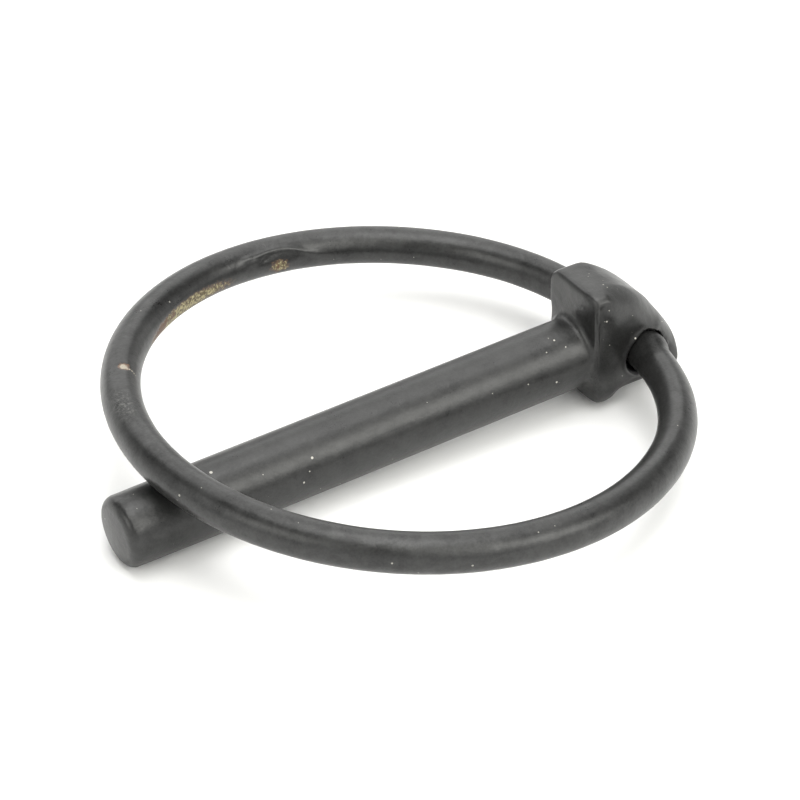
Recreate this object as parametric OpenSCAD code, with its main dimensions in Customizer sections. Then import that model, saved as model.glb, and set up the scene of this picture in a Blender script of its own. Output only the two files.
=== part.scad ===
// Lynch pin: a forged pin with a block head, and a spring-wire ring hinged in the head's cross hole.
// All lengths are in millimetres. The pin lies on its head's foot and its tip, the ring closed on top.
// Each sub-part is drawn in the pin's own frame: shoulder at the origin, shank along +X, ring above.

/* [Shank] */
// Diameter of the plain shank
shank_d = 10; // [6:0.5:16]
// Length from the head's shoulder to the tip
shank_len = 70.3; // [40:1:120]
// Length of the tapered lead at the tip, which starts where the ring crosses
lead_len = 10.3; // [6:0.1:20]
// Diameter lost over the lead
lead_drop = 0.16; // [0.05:0.01:1]
// Rounding of the tip's edge
tip_round = 0.8; // [0.2:0.1:2]
// Radius of the fillet between the shank and the head
neck_fillet = 1.3; // [0.5:0.1:3]

/* [Head] */
// Width of the head across the hole
head_w = 11.6; // [8:0.1:20]
// Length of the head along the shank
head_len = 14.4; // [11:0.1:24]
// Height of the head above the shank's centreline
head_up = 10.9; // [8:0.1:20]
// Depth of the head below the centreline, at the back
head_down = 6.1; // [5.5:0.1:12]
// How much lower the foot under the shoulder reaches than the back
foot_drop = 1.3; // [0.3:0.1:4]
// Radius of the foot's rounded underside
foot_round = 1.8; // [1.5:0.1:4]
// Distance behind the shoulder where the top starts to slope down
top_len = 7.5; // [3:0.1:12]
// Angle of the sloping back
slope = 57; // [30:0.5:70]
// Radius of the bend between the top and the slope
crest_round = 13.2; // [0.5:0.1:24]
// Radius of the bend between the slope and the back
heel_round = 4; // [0.5:0.1:12]
// Rounding of the top's long edges
top_round = 2.2; // [0.5:0.1:4]
// Rounding of the slope's long edges
slope_round = 4.3; // [0.5:0.1:5.5]
// Rounding of the bottom's long edges
bottom_round = 2.8; // [0.5:0.1:4]
// Rounding of the back's upright edges
back_round = 1.4; // [0.5:0.1:5]

/* [Ring hole] */
// Distance of the hole's centre behind the shoulder
hole_back = 8.4; // [7:0.1:18]
// Height of the hole's centre above the shank's centreline
hole_up = -0.5; // [-3:0.05:6]
// Radial clearance of the hole around the wire
hole_play = 0.6; // [0.3:0.05:1.5]
// Width of the flare at each mouth of the hole
mouth_flare = 0.2; // [0.1:0.05:1]

/* [Ring] */
// Diameter of the ring's wire
wire_d = 5.4; // [3:0.1:8]
// Diameter of the ring along the middle of the wire
ring_d = 75; // [40:0.1:130]
// Radius of the tighter bend that brings each end of the wire square to the hole
end_r = 31.5; // [20:0.1:60]
// Angle of that tighter bend at each end, in degrees
end_angle = 48; // [20:1:60]
// Gap between the wire's two ends, hidden in the head
wire_gap = 2; // [0.5:0.1:4]
// Gap left between the closed ring and the top of the shank
rest_gap = 0.06; // [0.02:0.01:0.3]
// How far the ring is turned off square in its loose hole, in degrees
ring_yaw = 4.2; // [0:0.1:5]
// How far the ring's plane is rolled in its loose hole, its far side up, in degrees
ring_roll = 0.44; // [-1:0.02:1]
// How far the ring has slid sideways in its hole
ring_slide = 0.55; // [-1:0.05:1]
// How far the wire sits above the hole's centre
wire_lift = 0.26; // [0:0.02:0.5]

/* [Hidden] */
eps = 0.01;
$fn = 96;
shank_r = shank_d / 2;
wire_r = wire_d / 2;
ring_r = ring_d / 2;
hole_r = wire_r + hole_play;
// the fillet is sunk a little into the shoulder, so it meets it at a slight angle
neck_sink = 0.12;
neck_len = neck_fillet - neck_sink;
// the tighter ends leave the ring's circle early and finish in a short straight leg in the hole
end_shift = ring_r - end_r;
ring_reach = ring_r - end_shift * (1 - cos(end_angle));
leg_half = end_shift * sin(end_angle);
// the wire loses a hair of thickness from arc to bend to leg, and each starts a little inside the last
wire_step = 0.03;
lap = 0.8;
lap_angle = 1.2;
// the closed ring's tilt: its far side lies on the shank's top
cross_dist = (ring_reach + ring_r) * cos(ring_yaw);
cross_up = shank_r + wire_r + rest_gap - hole_up - wire_lift;
ring_tilt = asin(cross_up / cross_dist);
lead_r = shank_r - lead_drop / 2;
// the bar that rounds the slope's edges stands a hair above the slope, so their flats don't coincide
bar_rise = 0.04;
// where the pin rests: the foot's rounded underside and the tip's rounded edge
foot_x = -foot_round;
foot_z = -(head_down + foot_drop) + foot_round;
tip_x = shank_len - tip_round;
tip_z = -(lead_r - tip_round);
rest_span = sqrt((tip_x - foot_x) * (tip_x - foot_x) + (tip_z - foot_z) * (tip_z - foot_z));
rest_pitch = asin((foot_round - tip_round) / rest_span) + atan2(tip_z - foot_z, tip_x - foot_x);

// puts a sub-part from the pin's own frame into the way it lies on a table,
// with the origin on the shank's axis where its plain round wall starts
module at_rest() {
  rotate([0, rest_pitch, 0])
    translate([-neck_len, 0, 0])
      children();
}

// the head seen from the side: X along the shank, Y upwards
module head_side() {
  low = -head_down;
  // corners of the upper outline, before they are rounded
  heel_z = head_up - (head_len - top_len) * tan(slope);
  // distances from a corner to where its rounding starts
  crest_t = crest_round * tan(slope / 2);
  heel_t = heel_round * tan((90 - slope) / 2);
  difference() {
    union() {
      difference() {
        translate([-head_len, low])
          square([head_len, head_up - low]);
        // everything above the slope
        translate([-top_len, head_up])
          rotate(slope)
            translate([-2 * head_len, 0])
              square([3 * head_len, head_len]);
        // square corner at the crest
        polygon([
          [-top_len + crest_t, head_up + eps],
          [-top_len + crest_t, head_up],
          [-top_len - crest_t * cos(slope), head_up - crest_t * sin(slope)],
          [-top_len - crest_t * cos(slope), head_up + eps]
        ]);
        // square corner at the heel
        polygon([
          [-head_len - eps, heel_z - heel_t],
          [-head_len, heel_z - heel_t],
          [-head_len + heel_t * cos(slope), heel_z + heel_t * sin(slope)],
          [-head_len - eps, heel_z + heel_t * sin(slope)]
        ]);
      }
      // rounded crest and heel
      translate([-top_len + crest_t, head_up - crest_round])
        circle(crest_round);
      translate([-head_len + heel_round, heel_z - heel_t])
        circle(heel_round);
    }
    // the back's lower edge is rounded
    difference() {
      translate([-head_len - 1, low - 1])
        square([bottom_round + 1, bottom_round + 1]);
      translate([-head_len + bottom_round, low + bottom_round])
        circle(bottom_round);
    }
  }
}

// the foot seen from the side: a rounded lobe under the shoulder
module foot_side() {
  translate([foot_x, foot_z])
    circle(foot_round);
  translate([-foot_round, foot_z])
    square([foot_round, -foot_z]);
}

// the head seen along the shank, down to the given depth: X across, Y upwards
module head_front(depth) {
  union() {
    translate([-head_w / 2, bottom_round - depth])
      square([head_w, head_up - top_round - bottom_round + depth]);
    translate([-head_w / 2 + top_round, head_up - 2 * top_round])
      square([head_w - 2 * top_round, 2 * top_round]);
    translate([-head_w / 2 + bottom_round, -depth])
      square([head_w - 2 * bottom_round, 2 * bottom_round]);
    for (s = [-1, 1]) {
      translate([s * (head_w / 2 - top_round), head_up - top_round])
        circle(top_round);
      translate([s * (head_w / 2 - bottom_round), bottom_round - depth])
        circle(bottom_round);
    }
  }
}

// the head seen from above: X along the shank, Y across
module head_plan() {
  union() {
    translate([-head_len + back_round, -head_w / 2])
      square([head_len - back_round, head_w]);
    translate([-head_len, -head_w / 2 + back_round])
      square([head_len, head_w - 2 * back_round]);
    for (s = [-1, 1])
      translate([-head_len + back_round, s * (head_w / 2 - back_round)])
        circle(back_round);
  }
}

// a long bar lying down the slope, which rounds the slope's two long edges
module slope_bar() {
  deep = 3 * head_len;
  translate([-top_len, 0, head_up])
    rotate([0, -slope, 0])
      translate([0, 0, bar_rise])
        rotate([90, 0, 90])
          translate([0, 0, -2 * head_len])
            linear_extrude(4 * head_len)
              union() {
                translate([-head_w / 2, -deep])
                  square([head_w, deep - slope_round]);
                translate([-head_w / 2 + slope_round, -deep])
                  square([head_w - 2 * slope_round, deep]);
                for (s = [-1, 1])
                  translate([s * (head_w / 2 - slope_round), -slope_round])
                    circle(slope_round);
              }
}

// one stretch of the head: an outline from the side and one along the shank, met at right angles
module crossed(depth) {
  intersection() {
    translate([0, head_w / 2 + 1, 0])
      rotate([90, 0, 0])
        linear_extrude(head_w + 2)
          children();
    translate([-head_len - 1, 0, 0])
      rotate([90, 0, 90])
        linear_extrude(head_len + 2)
          head_front(depth);
  }
}

// forged block head
module head_block() {
  high = head_up + head_down + foot_drop + 2;
  intersection() {
    union() {
      crossed(head_down)
        head_side();
      crossed(head_down + foot_drop)
        foot_side();
    }
    slope_bar();
    translate([0, 0, -head_down - foot_drop - 1])
      linear_extrude(high)
        head_plan();
  }
}

// round shank with its tapered lead and rounded tip
module shank() {
  plain_end = shank_len - lead_len;
  rotate([0, 90, 0]) {
    translate([0, 0, -2])
      cylinder(r = shank_r, h = plain_end + 2);
    translate([0, 0, plain_end])
      cylinder(r1 = shank_r, r2 = lead_r, h = lead_len - tip_round);
    // rounded edge of the tip
    rotate_extrude() {
      translate([0, tip_x])
        square([lead_r - tip_round, tip_round]);
      intersection() {
        translate([lead_r - tip_round, tip_x])
          circle(tip_round);
        translate([lead_r - tip_round, tip_x])
          square([tip_round, tip_round]);
      }
    }
  }
}

// fillet where the shank meets the shoulder, no wider than the head
module neck() {
  intersection() {
    rotate([0, 90, 0])
      rotate_extrude()
        union() {
          translate([0, -1])
            square([shank_r - 1, 2]);
          difference() {
            square([shank_r + neck_fillet, neck_len]);
            translate([shank_r + neck_fillet, neck_len])
              circle(neck_fillet);
          }
        }
    translate([-2, -head_w / 2, -head_up])
      cube([neck_fillet + 4, head_w, 2 * head_up]);
  }
}

// cross hole for the ring with a flared mouth on each side
module ring_hole() {
  translate([-hole_back, 0, hole_up])
    rotate([90, 0, 0]) {
      cylinder(r = hole_r, h = head_w + 2, center = true);
      for (s = [0, 180])
        rotate([s, 0, 0])
          translate([0, 0, head_w / 2 - mouth_flare])
            cylinder(r1 = hole_r, r2 = hole_r + mouth_flare + 1, h = mouth_flare + 1);
    }
}

// the forged pin: one solid piece
module pin() {
  color([0.16, 0.17, 0.17])
    at_rest()
      difference() {
        union() {
          head_block();
          neck();
          shank();
        }
        ring_hole();
      }
}

// the ring's wire in its own flat frame: circle centre at the origin, the hinge line at -X
module ring_wire() {
  // long round arc
  rotate([0, 0, 180 + end_angle])
    rotate_extrude(angle = 360 - 2 * end_angle, $fn = 90)
      translate([ring_r, 0])
        circle(wire_r, $fn = 40);
  for (s = [-1, 1]) {
    // tighter bend at each end, drawn a hair thinner and started just inside the long arc
    translate([-end_shift * cos(end_angle), s * end_shift * sin(end_angle), 0])
      rotate([0, 0, s < 0 ? 180 : 180 - end_angle - lap_angle])
        rotate_extrude(angle = end_angle + lap_angle, $fn = 90)
          translate([end_r, 0])
            circle(wire_r - wire_step, $fn = 40);
    // straight leg in the hole, started just inside the bend
    translate([-ring_reach, s * wire_gap / 2, 0])
      rotate([-s * 90, 0, 0])
        cylinder(r = wire_r - 2 * wire_step, h = leg_half - wire_gap / 2 + lap, $fn = 40);
  }
}

// the spring-wire ring: one open length of round wire, its ends meeting in the hole
module ring() {
  color([0.18, 0.18, 0.17])
    at_rest()
      translate([-hole_back, ring_slide, hole_up])
        rotate([0, -ring_tilt, 0])
          rotate([0, 0, -ring_yaw])
            rotate([-ring_roll, 0, 0])
              translate([ring_reach, 0, wire_lift])
                ring_wire();
}

pin();
ring();
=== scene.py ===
"""Lynch pin: a forged pin with a block head and a spring-wire ring, both in a worn black coat.

Shapes are worked out in the pin's own frame, in millimetres: the shoulder at the origin, the shank along +X
and the ring above. They are then placed in the frame of the CAD, in metres.
"""

import math

import bpy
import numpy as np
from mathutils import Matrix, Vector, noise


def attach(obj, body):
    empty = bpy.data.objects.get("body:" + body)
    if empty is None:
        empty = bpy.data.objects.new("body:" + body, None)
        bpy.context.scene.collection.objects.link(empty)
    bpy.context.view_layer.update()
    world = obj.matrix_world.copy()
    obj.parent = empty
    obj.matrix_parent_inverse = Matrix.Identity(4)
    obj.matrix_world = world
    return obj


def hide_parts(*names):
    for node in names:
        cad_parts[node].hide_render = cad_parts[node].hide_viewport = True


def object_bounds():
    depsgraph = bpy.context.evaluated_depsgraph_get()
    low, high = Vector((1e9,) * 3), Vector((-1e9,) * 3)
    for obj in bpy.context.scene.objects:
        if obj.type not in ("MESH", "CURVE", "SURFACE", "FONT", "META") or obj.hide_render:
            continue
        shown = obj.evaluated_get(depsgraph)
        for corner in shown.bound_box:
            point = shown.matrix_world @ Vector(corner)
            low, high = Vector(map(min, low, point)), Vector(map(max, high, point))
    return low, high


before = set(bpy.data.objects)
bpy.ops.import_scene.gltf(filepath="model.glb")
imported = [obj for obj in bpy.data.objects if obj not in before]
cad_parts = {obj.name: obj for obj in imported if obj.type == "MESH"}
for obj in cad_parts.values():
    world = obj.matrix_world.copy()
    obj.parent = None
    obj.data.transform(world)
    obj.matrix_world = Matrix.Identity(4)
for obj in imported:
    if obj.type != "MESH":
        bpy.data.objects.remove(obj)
CAD_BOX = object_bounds()
MM = 0.001

# ---- the part's own sizes, in millimetres, as its source has them
SHANK_R = 5.0
SHANK_LEN = 70.3
LEAD_LEN = 10.3
LEAD_DROP = 0.16
TIP_ROUND = 0.8
NECK_FILLET = 1.3
NECK_SINK = 0.12
HEAD_W = 11.6
FOOT_LOW = -7.4
FOOT_ROUND = 1.8
HOLE_BACK = 8.4
HOLE_UP = -0.5
HOLE_R = 3.3
WIRE_R = 2.7
RING_R = 37.5
END_R = 31.5
END_ANGLE = math.radians(48)
WIRE_GAP = 2.0
REST_GAP = 0.06
RING_YAW = math.radians(4.2)
RING_ROLL = math.radians(0.44)
RING_SLIDE = 0.55
WIRE_LIFT = 0.26

# ---- worked out from them
LEAD_R = SHANK_R - LEAD_DROP / 2
NECK_LEN = NECK_FILLET - NECK_SINK
SIDE_Y = HEAD_W / 2
FOOT_Z = FOOT_LOW + FOOT_ROUND
END_SHIFT = RING_R - END_R
RING_REACH = RING_R - END_SHIFT * (1 - math.cos(END_ANGLE))
LEG_HALF = END_SHIFT * math.sin(END_ANGLE)
CROSS_UP = SHANK_R + WIRE_R + REST_GAP - HOLE_UP - WIRE_LIFT
RING_TILT = math.asin(CROSS_UP / ((RING_REACH + RING_R) * math.cos(RING_YAW)))
TIP_DX = SHANK_LEN - TIP_ROUND + FOOT_ROUND
TIP_DZ = -(LEAD_R - TIP_ROUND) - FOOT_Z
REST_PITCH = math.asin((FOOT_ROUND - TIP_ROUND) / math.hypot(TIP_DX, TIP_DZ)) + math.atan2(TIP_DZ, TIP_DX)

# stands in for 0 where something is divided by a distance
TINY = 1e-6


# ---- places

def turned(points, angle, axis):
    """Points turned about an axis, by OpenSCAD's rule."""
    return points @ np.array(Matrix.Rotation(angle, 3, axis)).T


def pin_to_row(points):
    """From the pin's own frame in millimetres to the CAD's frame in metres."""
    return turned(points - np.array([NECK_LEN, 0, 0]), REST_PITCH, "Y") * MM


def row_to_pin(points):
    """From the CAD's frame in metres to the pin's own frame in millimetres."""
    return turned(points / MM, -REST_PITCH, "Y") + np.array([NECK_LEN, 0, 0])


def ring_to_pin(points):
    """From the ring's flat frame to the pin's own frame, the ring closed on the shank."""
    hinged = points + np.array([RING_REACH, 0, WIRE_LIFT])
    hinged = turned(turned(turned(hinged, -RING_ROLL, "X"), -RING_YAW, "Z"), -RING_TILT, "Y")
    return hinged + np.array([-HOLE_BACK, RING_SLIDE, HOLE_UP])


def from_hole(points):
    """How far along and how far up each point is from the hole's axis."""
    return points[:, 0] + HOLE_BACK, points[:, 2] - HOLE_UP


# ---- mesh tools

def add_object(name, data):
    """A new object with that data, in the scene."""
    thing = bpy.data.objects.new(name, data)
    bpy.context.scene.collection.objects.link(thing)
    return thing


def vertex_vectors(mesh, kind):
    """Each vertex's co or normal, one to a row."""
    flat = np.zeros(len(mesh.vertices) * 3, np.float32)
    mesh.vertices.foreach_get(kind, flat)
    return flat.reshape(-1, 3).astype(float)


def put_coords(mesh, points):
    mesh.vertices.foreach_set("co", np.asarray(points, np.float32).ravel())
    mesh.update()


def edge_ends(mesh):
    ends = np.zeros(len(mesh.edges) * 2, np.int32)
    mesh.edges.foreach_get("vertices", ends)
    return ends.reshape(-1, 2)


def add_values(mesh, name, values):
    attribute = mesh.attributes.new(name, "FLOAT", "POINT")
    attribute.data.foreach_set("value", np.asarray(values, np.float32))


# each seed moves the noise by this much
SEED_STEP = (7.3, 3.1, 5.7)


def bump_noise(points, size, seed):
    """Smooth noise about 0 at each point, with features of that size in millimetres."""
    shift = Vector([seed * step for step in SEED_STEP])
    return np.array([noise.noise(Vector(p) / size + shift) for p in points])


def smoothed(points, edges, weight, rounds):
    """Each point moves towards the middle of its neighbours, by half its weight, in each round."""
    a, b = edges[:, 0], edges[:, 1]
    n = len(points)
    count = (np.bincount(a, minlength=n) + np.bincount(b, minlength=n))[:, None]
    half = 0.5 * weight[:, None]
    for _ in range(rounds):
        sums = [np.bincount(a, points[b, k], n) + np.bincount(b, points[a, k], n) for k in range(3)]
        points = points + half * (np.stack(sums, 1) / count - points)
    return points


def ramp(x, low, high):
    """0 below low, 1 above high, smooth between."""
    t = np.clip((x - low) / (high - low), 0, 1)
    return t * t * (3 - 2 * t)


def hill(x, middle, half):
    """1 at the middle, falling smoothly to 0 at half either side."""
    return 1 - ramp(np.abs(x - middle), 0, half)


# ---- the forged pin

VOXEL = 0.25 * MM

# where the head ends and the shank begins, along the shank
HEAD_END = (1.2, 2.4)
HEAD_ROUNDS = 12
# the near side's upper edge, by distances across, up and along
BROAD_ACROSS = (1.6, 4.0)
BROAD_UP = (2.4, 4.4)
BROAD_FRONT = (-4.6, -2.2)
BROAD_BACK = (-13.0, -10.0)
BROAD_ROUNDS = 60
BROADEST_ROUNDS = 300
# the foot under the shoulder, by distances down and along
FOOT_DOWN = (3.6, 5.6)
FOOT_FRONT = (1.0, 2.0)
FOOT_ROUNDS = 50
# the near front corner of the head's top
CORNER = np.array([-0.6, 5.4, 9.8])
CORNER_R = 3.4
CORNER_ROUNDS = 60


def soften_head(p, edges, head):
    """Softens the head as a forging under a thick coat, and leaves the shank alone."""
    p = smoothed(p, edges, head, HEAD_ROUNDS)
    # the near side's upper edge has been forged over into a broad round, broadest away from the back
    broad = ramp(p[:, 1], *BROAD_ACROSS) * ramp(p[:, 2], *BROAD_UP) * (1 - ramp(p[:, 0], *BROAD_FRONT))
    p = smoothed(p, edges, broad, BROAD_ROUNDS)
    p = smoothed(p, edges, broad * ramp(p[:, 0], *BROAD_BACK), BROADEST_ROUNDS)
    # the foot is rounder than a plain edge round makes it
    foot = ramp(-p[:, 2], *FOOT_DOWN) * (1 - ramp(p[:, 0], *FOOT_FRONT))
    p = smoothed(p, edges, foot, FOOT_ROUNDS)
    # the front corner is worn round
    corner = hill(np.linalg.norm(p - CORNER, axis=1), 0, CORNER_R)
    return smoothed(p, edges, corner, CORNER_ROUNDS)


# how near a point is to the shank's wall to belong to it, and where the wall starts to be made round
WALL_NEAR = 0.35
WALL_START = (1.4, 2.6)


def round_shank(p, r):
    """Makes the shank and its slight lead truly round; r is each point's distance from the axis."""
    x = p[:, 0]
    lead = np.clip((x - (SHANK_LEN - LEAD_LEN)) / (LEAD_LEN - TIP_ROUND), 0, 1)
    wall = SHANK_R + (LEAD_R - SHANK_R) * lead
    on_wall = (np.abs(r - wall) < WALL_NEAR) & (x > WALL_START[0]) & (x < SHANK_LEN - TIP_ROUND)
    scale = np.where(on_wall, 1 + (wall / np.maximum(r, TINY) - 1) * ramp(x, *WALL_START), 1)
    p[:, 1:] *= scale[:, None]


# the tip in the photograph reaches further than the CAD's, has a broader round and is slightly crowned
TIP_EXTRA = 1.25
TIP_BROAD = 1.45
TIP_CROWN = 0.25
TIP_FACE = 0.5
# a faint lip of coat where the tip's round begins: its height, half width and place before the round
LIP = 0.05
LIP_HALF = 0.5
LIP_BEFORE = 0.1
LIP_FROM_X = 60
LIP_FROM_R = 3


def round_tip(p, r):
    """Moves the CAD's tip out to the photographed one; r is each point's distance from the axis."""
    x = p[:, 0]
    core, new_core = LEAD_R - TIP_ROUND, LEAD_R - TIP_BROAD
    start = SHANK_LEN + TIP_EXTRA - TIP_BROAD
    out, ahead = r - core, x - (SHANK_LEN - TIP_ROUND)
    rim = (out > 0) & (ahead >= 0)
    turn = np.arctan2(np.maximum(ahead, 0), np.maximum(out, TINY))
    rim_x = start + TIP_BROAD * np.sin(turn)
    rim_r = new_core + TIP_BROAD * np.cos(turn)
    face = (out <= 0) & (x > SHANK_LEN - TIP_FACE)
    face_r = r * new_core / core
    face_x = SHANK_LEN + TIP_EXTRA + TIP_CROWN * (1 - (face_r / new_core) ** 2)
    for part, new_x, new_r in ((rim, rim_x, rim_r), (face, face_x, face_r)):
        p[part, 0] = new_x[part]
        p[part, 1:] *= (new_r / np.maximum(r, TINY))[part, None]
    lip = (LIP * hill(p[:, 0], start - LIP_BEFORE, LIP_HALF)) * (p[:, 0] > LIP_FROM_X) * (r > LIP_FROM_R)
    p[:, 1:] *= (1 + lip / np.maximum(r, TINY))[:, None]


# the forging's slight unevenness: height, size and seed of its waves, and how far along it is worked out
LONG_WAVES = (0.07, 4.0, 1)
SHORT_WAVES = (0.02, 1.2, 2)
WAVES_TO = 3
# the head's sides are the surfaces between these depths and the side's own plane
SIDE_DEPTH = (0.8, 0.3)
# each side is a little hollow round the hole
HOLLOW = 0.30
HOLLOW_REACH = (0.6, 3.6)
# a bead of coat round each mouth, higher over the upper half
BEAD_LOW = 0.15
BEAD_MORE = 0.30
BEAD_UPPER = (-2.0, 1.5)
BEAD_OUT = 0.42
BEAD_HALF = 0.46
# the near side falls away towards a raised ridge at its front edge
NEAR_LOW = (-4.6, -2.4)
FALL = 0.55
FALL_FROM = 4.4
FALL_LEN = 3.6
RIDGE = 0.10
RIDGE_X = -0.20
RIDGE_HALF = 0.40
RIDGE_LOW = (-0.5, 2.0)
RIDGE_HIGH = (6.5, 8.5)


def side_share(p):
    """1 on the head's two flat sides, 0 elsewhere."""
    return ramp(np.abs(p[:, 1]), SIDE_Y - SIDE_DEPTH[0], SIDE_Y - SIDE_DEPTH[1])


def head_relief(p, head, hole_dist, on_side):
    """How far each point of the head stands out along its normal."""
    x, z = p[:, 0], p[:, 2]
    near = x < WAVES_TO
    waves = np.zeros(len(p))
    for height, size, seed in (LONG_WAVES, SHORT_WAVES):
        waves[near] += height * bump_noise(p[near], size, seed)
    hollow = HOLLOW * (1 - ramp(hole_dist, HOLE_R + HOLLOW_REACH[0], HOLE_R + HOLLOW_REACH[1])) * on_side
    upper = ramp(z - HOLE_UP, *BEAD_UPPER)
    bead = (BEAD_LOW + BEAD_MORE * upper) * hill(hole_dist, HOLE_R + BEAD_OUT, BEAD_HALF) * on_side
    near_side = on_side * (p[:, 1] > 0) * ramp(z, *NEAR_LOW)
    fall = FALL * np.clip((x + FALL_FROM) / FALL_LEN, 0, 1) ** 2 * near_side
    ridge = RIDGE * hill(x, RIDGE_X, RIDGE_HALF) * near_side * (ramp(z, *RIDGE_LOW) - ramp(z, *RIDGE_HIGH))
    return waves * head + bead - hollow - fall + ridge


# the coat narrows each mouth of the hole by a hair, between these depths from the side's plane
MOUTH_COAT = 0.11
MOUTH_DEPTH = (1.3, 0.6)
MOUTH_EDGE = (0.1, 0.5)
MOUTH_INSIDE = 2.9


def narrow_mouths(p, head, hole_dist):
    """The points with each mouth of the hole narrowed by the coat."""
    across, rise = from_hole(p)
    depth = ramp(np.abs(p[:, 1]), SIDE_Y - MOUTH_DEPTH[0], SIDE_Y - MOUTH_DEPTH[1])
    coat = MOUTH_COAT * depth * (1 - ramp(hole_dist, HOLE_R + MOUTH_EDGE[0], HOLE_R + MOUTH_EDGE[1]))
    inward = np.stack([-across, 0 * hole_dist, -rise], 1) / np.maximum(hole_dist, TINY)[:, None]
    return p + inward * (coat * head * (hole_dist > MOUTH_INSIDE))[:, None]


# painted shade round the hole, made by dulling the coat's shine there, by distances from its wall and up;
# dust, by distance along the shank
SHADE_REACH = (3.6, 7.0)
SHADE_LOW = (-3.8, 0.2)
SHADE_HIGH = (5.0, 8.5)
DUST_FADE = (-1.0, 9.0)
DUST_LEAST = 0.25


def build_pin():
    piece = add_object("forged_pin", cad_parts["pin"].data.copy())
    remesh = piece.modifiers.new("even_mesh", "REMESH")
    remesh.mode = "VOXEL"
    remesh.voxel_size = VOXEL
    shape = bpy.data.meshes.new_from_object(piece.evaluated_get(bpy.context.evaluated_depsgraph_get()))
    piece.modifiers.clear()
    piece.data = shape
    shape.name = "forged_pin"

    p = row_to_pin(vertex_vectors(shape, "co"))
    head = 1 - ramp(p[:, 0], *HEAD_END)
    p = soften_head(p, edge_ends(shape), head)
    r = np.hypot(p[:, 1], p[:, 2])
    round_shank(p, r)
    round_tip(p, r)

    put_coords(shape, pin_to_row(p))
    normals = turned(vertex_vectors(shape, "normal"), -REST_PITCH, "Y")
    hole_dist = np.hypot(*from_hole(p))
    on_side = side_share(p)
    p = p + normals * head_relief(p, head, hole_dist, on_side)[:, None]
    p = narrow_mouths(p, head, hole_dist)

    # painted shade: the head's sides round the hole are made darker by dulling their shine
    painted_shade = 1 - ramp(hole_dist, HOLE_R + SHADE_REACH[0], HOLE_R + SHADE_REACH[1])
    painted_shade = painted_shade * ramp(p[:, 2], *SHADE_LOW) * (1 - ramp(p[:, 2], *SHADE_HIGH))
    add_values(shape, "painted_shade", painted_shade * on_side)
    add_values(shape, "dusty", DUST_LEAST + (1 - DUST_LEAST) * (1 - ramp(p[:, 0], *DUST_FADE)))
    # nothing dips below what it lies on
    placed = pin_to_row(p)
    placed[:, 2] = np.maximum(placed[:, 2], CAD_BOX[0][2])
    put_coords(shape, placed)
    shape.shade_smooth()
    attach(piece, "pin")
    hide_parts("pin")
    return piece


# ---- the spring ring

RING_STEPS = 760
WIRE_STEPS = 56


def wire_path(steps):
    """The wire's centreline in the ring's flat frame from end to end, with its outward direction."""
    leg = LEG_HALF - WIRE_GAP / 2
    bend = END_R * END_ANGLE
    arc = RING_R * 2 * (math.pi - END_ANGLE)
    bend_x, bend_y = -END_SHIFT * math.cos(END_ANGLE), -END_SHIFT * math.sin(END_ANGLE)
    along = np.linspace(0, 2 * leg + 2 * bend + arc, steps)
    points, outward = [], []
    for s in along:
        flip = 1
        if s > along[-1] / 2:
            s, flip = along[-1] - s, -1
        if s < leg:
            angle = math.pi
            x, y = -RING_REACH, -WIRE_GAP / 2 - s
        elif s < leg + bend:
            angle = math.pi + (s - leg) / END_R
            x, y = bend_x + END_R * math.cos(angle), bend_y + END_R * math.sin(angle)
        else:
            angle = math.pi + END_ANGLE + (s - leg - bend) / RING_R
            x, y = RING_R * math.cos(angle), RING_R * math.sin(angle)
        points.append((x, flip * y, 0))
        outward.append((math.cos(angle), flip * math.sin(angle), 0))
    return np.array(points), np.array(outward)


def tube_faces(steps, sides):
    """The faces of a closed tube with that many steps along it, facing outward."""
    faces = []
    for i in range(steps - 1):
        for j in range(sides):
            k = (j + 1) % sides
            a, b = i * sides, (i + 1) * sides
            faces.append((a + j, b + j, b + k, a + k))
    last = (steps - 1) * sides
    faces.append(tuple(range(sides)))
    faces.append(tuple(last + j for j in range(sides))[::-1])
    return faces


# Marks on the ring. Each one has its middle and half length as angles round the ring (0 at the tip, positive
# to the near side), then its middle and half width as angles round the wire (0 outward, 90 up).
WRINKLES = (-84, 7, 150, 26)
SCUFFS = (-10, 7.5, 74, 44)
RUBBED = (55, 24, 62, 34)
CHIP_SPOT = (-23.9, 1.7, 99, 24)
BARE_PATCH = (-57.2, 22, 190, 38)
BARE_SPOT = (-88.3, 3.4, 188, 32)
# how strong the worn marks are at most, and the powers under 1 that make them fall later
CHIP_MOST = 0.8
CHIP_POWER = 0.6
BARE_PATCH_MOST = 0.9
BARE_PATCH_POWERS = (0.5, 0.7)
BARE_SPOT_MOST = 0.68
BARE_SPOT_POWERS = (0.5, 0.5)


def mark(place, turn, spot, along_power=1, round_power=1):
    """1 at the middle of a mark, falling to 0 at its edges, with a power for each of its two directions."""
    middle, half_length, turn_middle, half_width = spot
    along_share = hill(place, middle, half_length) ** along_power
    return along_share * hill(turn, turn_middle, half_width) ** round_power


# a long fold in the coat on the far side's inner face, above the bare spot, with a dip beside it
FOLD_TURN = 136
FOLD_RISE = 34
FOLD_BEND = (88, 100)
FOLD_SWAY = 5
FOLD_WAVES = 9
FOLD_HALF = 11
FOLD_START = (77, 81)
FOLD_END = (92, 103)
DIP_TURN = 34
DIP_HALF = 30
DIP_START = (78, 82)
DIP_END = (92, 98)


def fold_and_dip(place, turn):
    """How strong the fold and the dip are at each point of the ring."""
    far = -place
    line = FOLD_TURN + FOLD_RISE * ramp(far, *FOLD_BEND) + FOLD_SWAY * np.sin(np.radians(place * FOLD_WAVES))
    fold = hill(turn, line, FOLD_HALF) * ramp(far, *FOLD_START) * (1 - ramp(far, *FOLD_END))
    dip = hill(turn, line + DIP_TURN, DIP_HALF) * ramp(far, *DIP_START) * (1 - ramp(far, *DIP_END))
    return fold, dip


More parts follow.
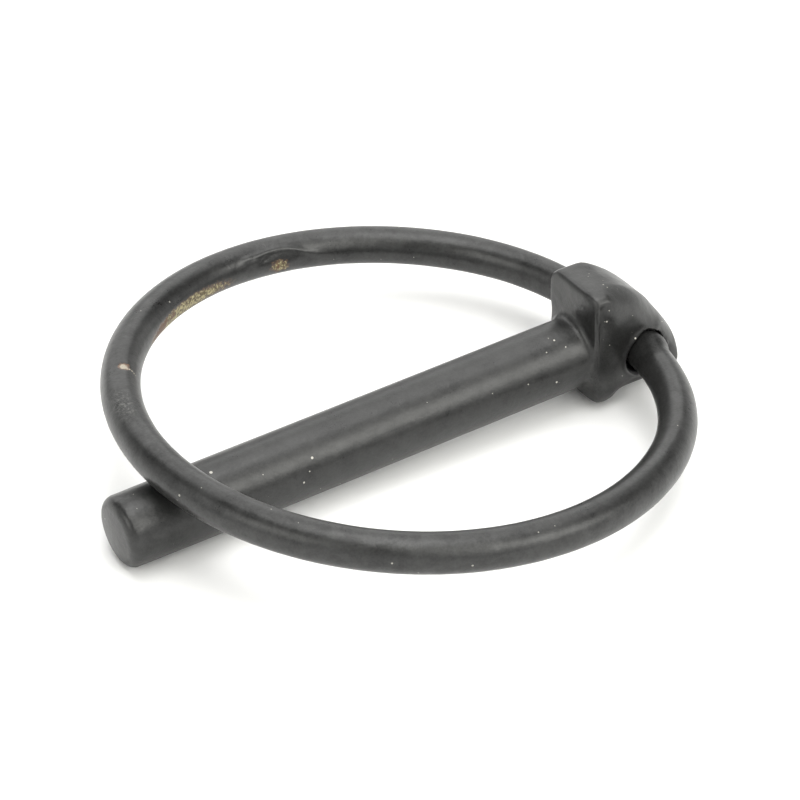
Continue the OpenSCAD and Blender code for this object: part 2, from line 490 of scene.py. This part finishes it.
def ring_marks(place, turn):
    """How strong each mark is at each point of the ring, by name."""
    fold, dip = fold_and_dip(place, turn)
    patch = mark(place, turn, BARE_PATCH, *BARE_PATCH_POWERS)
    spot = mark(place, turn, BARE_SPOT, *BARE_SPOT_POWERS)
    return {
        "fold": fold,
        "dip": dip,
        "wrinkle": mark(place, turn, WRINKLES),
        "scuff": mark(place, turn, SCUFFS),
        "rubbed": mark(place, turn, RUBBED),
        "bare": np.maximum(BARE_PATCH_MOST * patch, BARE_SPOT_MOST * spot),
        "chip": CHIP_MOST * mark(place, turn, CHIP_SPOT) ** CHIP_POWER,
    }


# the wire is a hair thinner towards its ends, as the part has it: by how much, and how far from the end
END_THIN = 0.05
END_THIN_TO = (10.0, 18.0)
NEXT_THIN = 0.03
NEXT_THIN_TO = (26.0, 34.0)
# heights and depths of the ripples and marks
LONG_HEIGHT = 0.014
SHORT_HEIGHT = 0.012
FOLD_HEIGHT = 0.25
DIP_DEPTH = 0.12
DIP_LEVEL = 0.6
WRINKLE_HEIGHT = 0.34
SCUFF_HEIGHT = 0.12
SCUFF_DEPTH = 0.03
RUBBED_DEPTH = 0.05
RUBBED_HEIGHT = 0.04
BARE_DEPTH = 0.06
BARE_DEPTH_FROM = (0.3, 0.5)
CHIP_DEPTH = 0.12
CHIP_DEPTH_FROM = (0.2, 0.6)
# size and seed of their noises, and how much flatter two of them are along the ring's axis
LONG_NOISE = (9.0, 3)
SHORT_NOISE = (2.5, 4)
DIP_NOISE = (1.6, 5)
SCUFF_NOISE = (1.5, 6)
SCUFF_FLATTER = 2.2
RUBBED_NOISE = (3.0, 7)
WRINKLE_NOISE = (2.0, 8)
WRINKLE_FLATTER = 1.8


def flattened_noise(points, flatter, size, seed):
    """Noise whose features are flatter along the ring's axis, by that factor."""
    return bump_noise(points * np.array([1.0, 1.0, flatter]), size, seed)


def wire_radius(flat, from_end, marks):
    """The wire's radius at each point of its smooth surface."""
    radius = WIRE_R - END_THIN * (1 - ramp(from_end, *END_THIN_TO))
    radius = radius - NEXT_THIN * (1 - ramp(from_end, *NEXT_THIN_TO))
    radius = radius + LONG_HEIGHT * bump_noise(flat, *LONG_NOISE)
    radius = radius + SHORT_HEIGHT * bump_noise(flat, *SHORT_NOISE)
    radius = radius + FOLD_HEIGHT * marks["fold"]
    radius = radius - DIP_DEPTH * marks["dip"] * (DIP_LEVEL + bump_noise(flat, *DIP_NOISE))
    wrinkles = flattened_noise(flat, WRINKLE_FLATTER, *WRINKLE_NOISE)
    radius = radius + WRINKLE_HEIGHT * marks["wrinkle"] * wrinkles
    scuffs = flattened_noise(flat, SCUFF_FLATTER, *SCUFF_NOISE)
    radius = radius + SCUFF_HEIGHT * marks["scuff"] * scuffs - SCUFF_DEPTH * marks["scuff"]
    rubbed = marks["rubbed"]
    radius = radius - RUBBED_DEPTH * rubbed - RUBBED_HEIGHT * rubbed * bump_noise(flat, *RUBBED_NOISE)
    # bare metal lies a coat's thickness lower, and the chip is deeper
    radius = radius - BARE_DEPTH * ramp(marks["bare"], *BARE_DEPTH_FROM)
    return radius - CHIP_DEPTH * ramp(marks["chip"], *CHIP_DEPTH_FROM)


# a collar of coat on the wire fills the gap at the upper rear of each mouth: its radius from the hole's axis,
# and where along the axis it starts and ends
COLLAR_R = 3.12
COLLAR_START = (4.0, 5.0)
COLLAR_END = (5.6, 8.8)
COLLAR_SIDE = (-0.2, 0.8)


def add_collars(p):
    """Pushes the wire's surface out to the collars; they keep clear of the hole's wall as the ring swings."""
    across, rise = from_hole(p)
    reach = np.maximum(np.hypot(across, rise), TINY)
    depth = np.abs(p[:, 1])
    at_mouth = ramp(depth, *COLLAR_START) * (1 - ramp(depth, *COLLAR_END))
    upper_rear = ramp((rise - across) / (reach * math.sqrt(2)), *COLLAR_SIDE)
    push = np.maximum(COLLAR_R - reach, 0) * at_mouth * upper_rear
    p[:, 0] += push * across / reach
    p[:, 2] += push * rise / reach


# how far from the wire's ends its painted shade reaches, made by dulling the shine in and near the hole, and
# where along the ring the bare metal is rusty
WIRE_SHADE_TO = (7.0, 9.8)
RUSTY_END = (-56, -45)
RUSTY_SPOT = (-88.6, 6)
RUSTY_SPOT_MOST = 0.15
# how much of the rubbed place looks scuffed, and how creased the fold is
RUBBED_SCUFF = 0.12
FOLD_CREASED = 0.5


def build_ring():
    points, outward = wire_path(RING_STEPS)
    around = np.linspace(0, 2 * math.pi, WIRE_STEPS, endpoint=False)
    up = np.array([0, 0, 1.0])
    way = np.cos(around)[None, :, None] * outward[:, None, :] + np.sin(around)[None, :, None] * up
    way = way.reshape(-1, 3)
    centre = np.repeat(points[:, None, :], WIRE_STEPS, 1).reshape(-1, 3)
    place = np.degrees(np.arctan2(centre[:, 1], centre[:, 0]))
    turn = np.degrees(np.tile(around, RING_STEPS))
    along = np.repeat(np.arange(RING_STEPS), WIRE_STEPS) / (RING_STEPS - 1)
    from_end = np.minimum(along, 1 - along) * RING_R * 2 * math.pi

    marks = ring_marks(place, turn)
    radius = wire_radius(centre + WIRE_R * way, from_end, marks)
    p = ring_to_pin(centre + radius[:, None] * way)
    add_collars(p)

    mesh = bpy.data.meshes.new("spring_ring")
    mesh.from_pydata([tuple(v) for v in pin_to_row(p)], [], tube_faces(RING_STEPS, WIRE_STEPS))
    mesh.validate()
    mesh.shade_smooth()
    piece = add_object("spring_ring", mesh)
    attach(piece, "ring")
    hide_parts("ring")

    add_values(mesh, "bare", marks["bare"])
    add_values(mesh, "chip", marks["chip"])
    add_values(mesh, "rusty", ramp(place, *RUSTY_END) + RUSTY_SPOT_MOST * hill(place, *RUSTY_SPOT))
    add_values(mesh, "scuff", np.maximum(marks["scuff"], RUBBED_SCUFF * marks["rubbed"]))
    add_values(mesh, "fold", np.maximum(FOLD_CREASED * marks["fold"], marks["wrinkle"]))
    # painted shade: the wire's ends, in and near the hole, are made darker by dulling their shine
    add_values(mesh, "painted_shade", 1 - ramp(from_end, *WIRE_SHADE_TO))
    return piece


# ---- materials

# a dot's soft edge, as shares of its radius
DOT_EDGE = (0.8, 1.2)
# the places of a Mix node's colour sockets
MIX_A = 6
MIX_B = 7
MIX_RESULT = 2


class Nodes:
    """A short way to write a material's nodes."""

    def __init__(self, name):
        self.material = bpy.data.materials.new(name)
        self.material.use_nodes = True
        self.tree = self.material.node_tree
        self.tree.nodes.clear()

    def add(self, kind, **settings):
        node = self.tree.nodes.new("ShaderNode" + kind)
        for key, value in settings.items():
            setattr(node, key, value)
        return node

    def link(self, start, end):
        self.tree.links.new(start, end)

    def put(self, socket, value):
        """Links a node's output to a socket, or sets the socket to a constant."""
        if isinstance(value, bpy.types.NodeSocket):
            self.link(value, socket)
        else:
            socket.default_value = value

    def noise(self, place, size, detail, rough, warp=0.0):
        """Noise from 0 to 1 with features of that size in millimetres."""
        node = self.add("TexNoise")
        self.put(node.inputs["Vector"], place)
        self.put(node.inputs["Scale"], 1 / (size * MM))
        self.put(node.inputs["Detail"], detail)
        self.put(node.inputs["Roughness"], rough)
        self.put(node.inputs["Distortion"], warp)
        return node.outputs["Fac"]

    def math(self, operation, a, b):
        node = self.add("Math", operation=operation)
        self.put(node.inputs[0], a)
        self.put(node.inputs[1], b)
        return node.outputs[0]

    def plus(self, a, b):
        return self.math("ADD", a, b)

    def minus(self, a, b):
        return self.math("SUBTRACT", a, b)

    def times(self, a, b):
        return self.math("MULTIPLY", a, b)

    def swing(self, noise, size):
        """Noise made to swing about 0, by half of size either way at most."""
        return self.times(self.minus(noise, 0.5), size)

    def span(self, value, low, high, to_low=0.0, to_high=1.0):
        """to_low below low, to_high above high, smooth between."""
        node = self.add("MapRange", interpolation_type="SMOOTHSTEP")
        self.put(node.inputs["Value"], value)
        self.put(node.inputs["From Min"], low)
        self.put(node.inputs["From Max"], high)
        self.put(node.inputs["To Min"], to_low)
        self.put(node.inputs["To Max"], to_high)
        return node.outputs["Result"]

    def mix(self, factor, a, b):
        node = self.add("Mix", data_type="RGBA")
        self.put(node.inputs["Factor"], factor)
        self.put(node.inputs[MIX_A], a)
        self.put(node.inputs[MIX_B], b)
        return node.outputs[MIX_RESULT]

    def specks(self, place, spacing, share, size):
        """Small round dots: about one to a cell of that spacing, in that share of the cells.

        The size is the largest radius; spacing and size are in millimetres.
        """
        node = self.add("TexVoronoi", feature="F1")
        self.put(node.inputs["Vector"], place)
        self.put(node.inputs["Scale"], 1 / (spacing * MM))
        pick = self.add("SeparateColor")
        self.link(node.outputs["Color"], pick.inputs["Color"])
        chosen = self.math("LESS_THAN", pick.outputs[0], share)
        radius = self.times(pick.outputs[1], size / spacing)
        dot = self.math("LESS_THAN", node.outputs["Distance"], radius)
        return self.times(dot, chosen)

    def dot(self, place, point, radius):
        """1 within that radius in millimetres of a point, with a soft edge."""
        node = self.add("VectorMath", operation="DISTANCE")
        self.put(node.inputs[0], place)
        self.put(node.inputs[1], tuple(point))
        inner, outer = radius * DOT_EDGE[0] * MM, radius * DOT_EDGE[1] * MM
        return self.span(node.outputs["Value"], inner, outer, 1.0, 0.0)

    def largest(self, values):
        total = values[0]
        for value in values[1:]:
            total = self.math("MAXIMUM", total, value)
        return total

    def value(self, name):
        """A value that the mesh carries at its points."""
        return self.add("Attribute", attribute_name=name).outputs["Fac"]


COAT = (0.0070, 0.0071, 0.0070, 1)
COAT_LIGHT = (0.0200, 0.0201, 0.0197, 1)
DUST = (0.55, 0.53, 0.48, 1)
CHIP = (0.31, 0.275, 0.215, 1)
SCUFF = (0.11, 0.11, 0.105, 1)
ZINC = (0.36, 0.32, 0.17, 1)
ZINC_DARK = (0.085, 0.062, 0.036, 1)
RUST = (0.105, 0.055, 0.030, 1)

# Single specks of dust that the photograph shows, and their radius in millimetres. Those on the shank are
# placed by length from the head and angle from the near side, those on the ring by angles, as the marks are.
SHANK_SPECKS = (
    (57.75, 76, 0.21),
    (44.25, 38, 0.17),
    (46.25, 6, 0.13),
    (4.5, 68, 0.13),
    (6.5, 54, 0.09),
    (6.25, 2, 0.14),
)
RING_SPECKS = (
    (-53.75, 136, 0.12),
    (31, 118, 0.10),
    (36, 95, 0.09),
    (88, 60, 0.10),
)
# a pale scratch that runs from the chip down the inner side, as dots side by side
SCRATCH = (
    (-23.6, 108, 0.16),
    (-23.3, 116, 0.15),
    (-23.1, 124, 0.13),
    (-22.7, 131, 0.11),
    (-22.4, 138, 0.09),
)
# spacing and largest radius of the scattered specks
SPECKS_BIG = (1.5, 0.17)
SPECKS_SMALL = (0.8, 0.10)
DUSTY_SHARE = 0.30

# noises: their size in millimetres, detail, roughness and warp
GRAIN = (0.22, 2.0, 0.6)
BLOTCHES = (5.0, 4.0, 0.6, 0.4)
STREAKS = (1.1, 3.0, 0.6)
RAGGED = (0.55, 5.0, 0.72)
SPOTS = (0.45, 4.0, 0.7)
PATCHES = (1.9, 3.0, 0.6)
CRUMBLED = (0.35, 4.0, 0.7)
SCRATCHY = (0.60, 4.0, 0.75, 0.4)
CREASES = (0.7, 2.0, 0.5, 1.5)
FINE_SHINE = (0.45, 3.0, 0.65)
BROAD_SHINE = (2.4, 4.0, 0.6, 0.5)
# what the noises add to the coat's tone, and the value at which the grain adds nothing
BLOTCHES_TONE = 0.60
STREAKS_TONE = 0.25
GRAIN_TONE = 0.50
GRAIN_LEVEL = 0.2
# what they and the worn places add to the height that the bump shows, in millimetres
GRAIN_BUMP = 0.017
STREAKS_BUMP = 0.060
SCUFF_BUMP = 0.35
CREASES_BUMP = 0.10
BARE_BUMP = -0.06
SPOTS_BUMP = 0.08
BUMP_STRENGTH = 0.7
# where each look starts and where it is full
TONE_SPAN = (0.32, 0.70)
ROUGH_SPAN = (0.30, 0.75)
FRAY_SPAN = (0.0, 0.2)
RIM_SPAN = (0.24, 0.38)
BARE_SPAN = (0.37, 0.47)
ZINC_SPAN = (0.44, 0.60)
RUST_SPAN = (0.60, 0.70)
CHIP_SPAN = (0.47, 0.57)
SCUFF_SPAN = (0.46, 0.66)
# how far the noise frays the edges of the bare places and of the chip
BARE_FRAY = 1.2
CHIP_FRAY = 1.3
# how strongly the bare places' rim is stained, and how much more rust there is where the mesh says rusty
RIM_STAIN = 0.6
RUSTY_MORE = 0.3
# how rough and metallic the surfaces are
COAT_ROUGH = (0.26, 0.37)
BARE_ROUGHER = 0.20
BARE_METAL = 0.35
COAT_IOR = 1.5
# the shine left where shade is painted, which makes those places darker
SHADED_SHINE = 0.12


def on_ring(place, turn):
    """A point on the wire's surface at rest, by its angles round the ring and round the wire in degrees."""
    phi, theta = math.radians(place), math.radians(turn)
    outward = np.array([math.cos(phi), math.sin(phi), 0])
    way = math.cos(theta) * outward + math.sin(theta) * np.array([0, 0, 1.0])
    point = RING_R * outward + WIRE_R * way
    return pin_to_row(ring_to_pin(point[None, :]))[0]


def on_shank(along, turn):
    """A point on the shank's wall at rest, by its length from the head and its angle from the near side."""
    angle = math.radians(turn)
    point = np.array([[along, SHANK_R * math.cos(angle), SHANK_R * math.sin(angle)]])
    return pin_to_row(point)[0]


class Coat(Nodes):
    """Satin black coat over steel, put together layer by layer."""

    def __init__(self, name):
        super().__init__(name)
        self.place = self.add("TexCoord").outputs["Object"]
        grain = self.noise(self.place, *GRAIN)
        blotches = self.noise(self.place, *BLOTCHES)
        streaks = self.noise(self.place, *STREAKS)
        tone = self.plus(self.times(blotches, BLOTCHES_TONE), self.times(streaks, STREAKS_TONE))
        tone = self.plus(tone, self.times(self.minus(grain, GRAIN_LEVEL), GRAIN_TONE))
        self.colour = self.mix(self.span(tone, *TONE_SPAN), COAT, COAT_LIGHT)
        self.rough = self.span(tone, *ROUGH_SPAN, *COAT_ROUGH)
        self.height = self.plus(self.times(grain, GRAIN_BUMP), self.times(streaks, STREAKS_BUMP))
        self.metal = 0.0

    def raise_by(self, share, height):
        self.height = self.plus(self.height, self.times(share, height))

    def frayed(self, value, noise, most):
        """A worn place's value with its edge frayed by that noise, near the place only."""
        return self.plus(value, self.swing(noise, self.span(value, *FRAY_SPAN, 0.0, most)))

    def add_dust(self, single, share_big, share_small, strength):
        """Pale specks: single ones, and scattered ones in those shares of the places for them."""
        big = self.specks(self.place, SPECKS_BIG[0], share_big, SPECKS_BIG[1])
        small = self.specks(self.place, SPECKS_SMALL[0], share_small, SPECKS_SMALL[1])
        dust = self.largest([*single, big, small])
        self.colour = self.mix(self.times(dust, strength), self.colour, DUST)

    def add_bare_metal(self):
        """Zinc, mottled and rusty in parts, with a stained rim; gives its share and its spots."""
        edge = self.frayed(self.value("bare"), self.noise(self.place, *RAGGED), BARE_FRAY)
        rim, bare = self.span(edge, *RIM_SPAN), self.span(edge, *BARE_SPAN)
        spots = self.noise(self.place, *SPOTS)
        zinc = self.mix(self.span(spots, *ZINC_SPAN), ZINC_DARK, ZINC)
        rusty = self.plus(self.noise(self.place, *PATCHES), self.times(self.value("rusty"), RUSTY_MORE))
        zinc = self.mix(self.span(rusty, *RUST_SPAN), zinc, RUST)
        self.colour = self.mix(self.times(rim, RIM_STAIN), self.colour, RUST)
        self.colour = self.mix(bare, self.colour, zinc)
        self.rough = self.plus(self.rough, self.times(bare, BARE_ROUGHER))
        self.metal = self.times(bare, BARE_METAL)
        return bare, spots

    def add_chip(self):
        """A pale chip with a rusty rim, and a scratch that runs from it."""
        edge = self.frayed(self.value("chip"), self.noise(self.place, *CRUMBLED), CHIP_FRAY)
        self.colour = self.mix(self.span(edge, *RIM_SPAN), self.colour, RUST)
        scratch = [self.dot(self.place, on_ring(place, turn), radius) for place, turn, radius in SCRATCH]
        pale = self.largest([self.span(edge, *CHIP_SPAN), *scratch])
        self.colour = self.mix(pale, self.colour, CHIP)

    def add_scuffs(self):
        """Fine pale scratches, and the creases of the fold and the wrinkles."""
        scuff = self.value("scuff")
        scratchy = self.noise(self.place, *SCRATCHY)
        self.colour = self.mix(self.times(scuff, self.span(scratchy, *SCUFF_SPAN)), self.colour, SCUFF)
        self.raise_by(self.times(scuff, scratchy), SCUFF_BUMP)
        creases = self.noise(self.place, *CREASES)
        self.raise_by(self.times(self.value("fold"), creases), CREASES_BUMP)

    def finish(self, shine, fine, broad):
        """The shader; painted shade dulls its shine round the hole and at the wire's ends, and fine and broad
        say how uneven it is.
        """
        bump = self.add("Bump")
        self.put(bump.inputs["Strength"], BUMP_STRENGTH)
        self.put(bump.inputs["Distance"], MM)
        self.put(bump.inputs["Height"], self.height)
        shader = self.add("BsdfPrincipled")
        self.put(shader.inputs["Base Color"], self.colour)
        self.put(shader.inputs["Roughness"], self.rough)
        self.put(shader.inputs["Metallic"], self.metal)
        self.put(shader.inputs["IOR"], COAT_IOR)
        # painted shade: the shine falls to its lowest where the mesh carries the painted shade
        dulled = self.span(self.value("painted_shade"), 0.0, 1.0, shine, SHADED_SHINE)
        fine_part = self.swing(self.noise(self.place, *FINE_SHINE), fine)
        broad_part = self.swing(self.noise(self.place, *BROAD_SHINE), broad)
        uneven = self.plus(self.plus(fine_part, broad_part), 1.0)
        self.put(shader.inputs["Specular IOR Level"], self.times(dulled, uneven))
        self.link(bump.outputs["Normal"], shader.inputs["Normal"])
        output = self.add("OutputMaterial")
        self.link(shader.outputs["BSDF"], output.inputs["Surface"])
        return self.material


def coated_steel():
    """The pin's coat: whole, and dusty near the head."""
    coat = Coat("coated_steel")
    single = [coat.dot(coat.place, on_shank(along, turn), radius) for along, turn, radius in SHANK_SPECKS]
    share = coat.times(coat.value("dusty"), DUSTY_SHARE)
    coat.add_dust(single, share_big=share, share_small=share, strength=0.80)
    return coat.finish(shine=0.48, fine=0.4, broad=0.6)


def coated_wire():
    """The ring's coat: bare, chipped and scuffed in places, and handled more than the pin's."""
    coat = Coat("coated_wire")
    single = [coat.dot(coat.place, on_ring(place, turn), radius) for place, turn, radius in RING_SPECKS]
    coat.add_dust(single, share_big=0.06, share_small=0.05, strength=0.50)
    bare, spots = coat.add_bare_metal()
    coat.add_chip()
    coat.add_scuffs()
    # the bare metal looks lower than the coat, and is pitted
    coat.raise_by(bare, BARE_BUMP)
    coat.raise_by(coat.times(bare, spots), SPOTS_BUMP)
    return coat.finish(shine=0.49, fine=0.7, broad=1.1)


def plain(name, colour, roughness):
    nodes = Nodes(name)
    shader = nodes.add("BsdfPrincipled")
    nodes.put(shader.inputs["Base Color"], colour)
    nodes.put(shader.inputs["Roughness"], roughness)
    output = nodes.add("OutputMaterial")
    nodes.link(shader.outputs["BSDF"], output.inputs["Surface"])
    return nodes.material


pin = build_pin()
ring = build_ring()
pin.data.materials.clear()
pin.data.materials.append(coated_steel())
ring.data.materials.append(coated_wire())


# ---- floor, light and camera

# the floor's half width in metres, and its look
FLOOR_HALF = 1.2
FLOOR_COLOUR = (0.93, 0.93, 0.93, 1)
FLOOR_ROUGHNESS = 0.9
# the light's two colours
WHITE = (1.0, 1.0, 0.985)
WARM = (1.0, 0.998, 0.955)


def direction(azimuth, elevation):
    """The unit vector towards an azimuth and elevation in degrees, in the view's own sense."""
    az, el = math.radians(azimuth), math.radians(elevation)
    return Vector((math.sin(az) * math.cos(el), -math.cos(az) * math.cos(el), math.sin(el)))


def build_floor():
    ways = ((-1, -1), (1, -1), (1, 1), (-1, 1))
    corners = [(x * FLOOR_HALF, y * FLOOR_HALF, CAD_BOX[0][2]) for x, y in ways]
    mesh = bpy.data.meshes.new("floor")
    mesh.from_pydata(corners, [], [(0, 1, 2, 3)])
    mesh.materials.append(plain("pale_floor", FLOOR_COLOUR, FLOOR_ROUGHNESS))
    floor = add_object("floor", mesh)


# the world is bright near the horizon, as a studio's white walls are, and dim above, where the lights are
WORLD_BRIGHT = 0.95
WORLD_DIM = 0.02
WORLD_FADE = (0.20, 0.50)


def build_world():
    world = bpy.data.worlds.new("studio")
    bpy.context.scene.world = world
    world.use_nodes = True
    tree = world.node_tree
    background = tree.nodes["Background"]
    background.inputs["Color"].default_value = (*WHITE, 1)
    sky = tree.nodes.new("ShaderNodeTexCoord")
    parts = tree.nodes.new("ShaderNodeSeparateXYZ")
    fade = tree.nodes.new("ShaderNodeMapRange")
    fade.interpolation_type = "SMOOTHSTEP"
    fade.inputs["From Min"].default_value = WORLD_FADE[0]
    fade.inputs["From Max"].default_value = WORLD_FADE[1]
    fade.inputs["To Min"].default_value = WORLD_BRIGHT
    fade.inputs["To Max"].default_value = WORLD_DIM
    tree.links.new(sky.outputs["Generated"], parts.inputs["Vector"])
    tree.links.new(parts.outputs["Z"], fade.inputs["Value"])
    tree.links.new(fade.outputs["Result"], background.inputs["Strength"])


# azimuth, elevation and strength of each soft light: one overhead, a high round and a low round
SOFT_LIGHTS = (
    (0, 90, 1.2),
    (0, 62, 0.4),
    (180, 62, 0.7),
    (240, 62, 0.3),
    (300, 62, 0.7),
    (0, 34, 0.5),
    (72, 34, 0.3),
    (108, 34, 0.8),
    (180, 34, 0.7),
    (216, 34, 1.4),
    (324, 34, 0.5),
)
# how wide each light looks from the part
LIGHT_ANGLE = math.radians(34)
# the lights between these azimuths are a little warmer
WARM_AZIMUTHS = (100, 230)


def build_lights():
    """Broad, soft lights, very far away."""
    for azimuth, elevation, strength in SOFT_LIGHTS:
        name = f"soft_{azimuth}_{elevation}"
        data = bpy.data.lights.new(name, "SUN")
        data.angle = LIGHT_ANGLE
        data.energy = strength
        data.color = WARM if WARM_AZIMUTHS[0] < azimuth < WARM_AZIMUTHS[1] else WHITE
        lamp = add_object(name, data)
        lamp.location = direction(azimuth, elevation)
        lamp.rotation_euler = lamp.location.to_track_quat("Z", "Y").to_euler()


# the camera looks from the photograph's angle; distances are in metres and the lens in millimetres
CAMERA_AZIMUTH = 147.964
CAMERA_ELEVATION = 35.293
CAMERA_ROLL = math.radians(-0.195)
CAMERA_DISTANCE = 0.41073
CAMERA_AIM = Vector((0.026622, -0.000794, 0.001735))
CAMERA_LENS = 137.88
CAMERA_SENSOR = 36
CAMERA_NEAREST = 0.01


def build_camera():
    data = bpy.data.cameras.new("camera")
    data.lens = CAMERA_LENS
    data.sensor_width = CAMERA_SENSOR
    data.clip_start = CAMERA_NEAREST
    camera = add_object("camera", data)
    back = direction(CAMERA_AZIMUTH, CAMERA_ELEVATION)
    camera.location = CAMERA_AIM + back * CAMERA_DISTANCE
    turned_back = back.to_track_quat("Z", "Y").to_matrix() @ Matrix.Rotation(CAMERA_ROLL, 3, "Z")
    camera.rotation_euler = turned_back.to_euler()
    bpy.context.scene.camera = camera


build_floor()
build_world()
build_lights()
build_camera()
bpy.context.scene.view_settings.view_transform = "Standard"
bpy.context.scene.view_settings.look = "None"
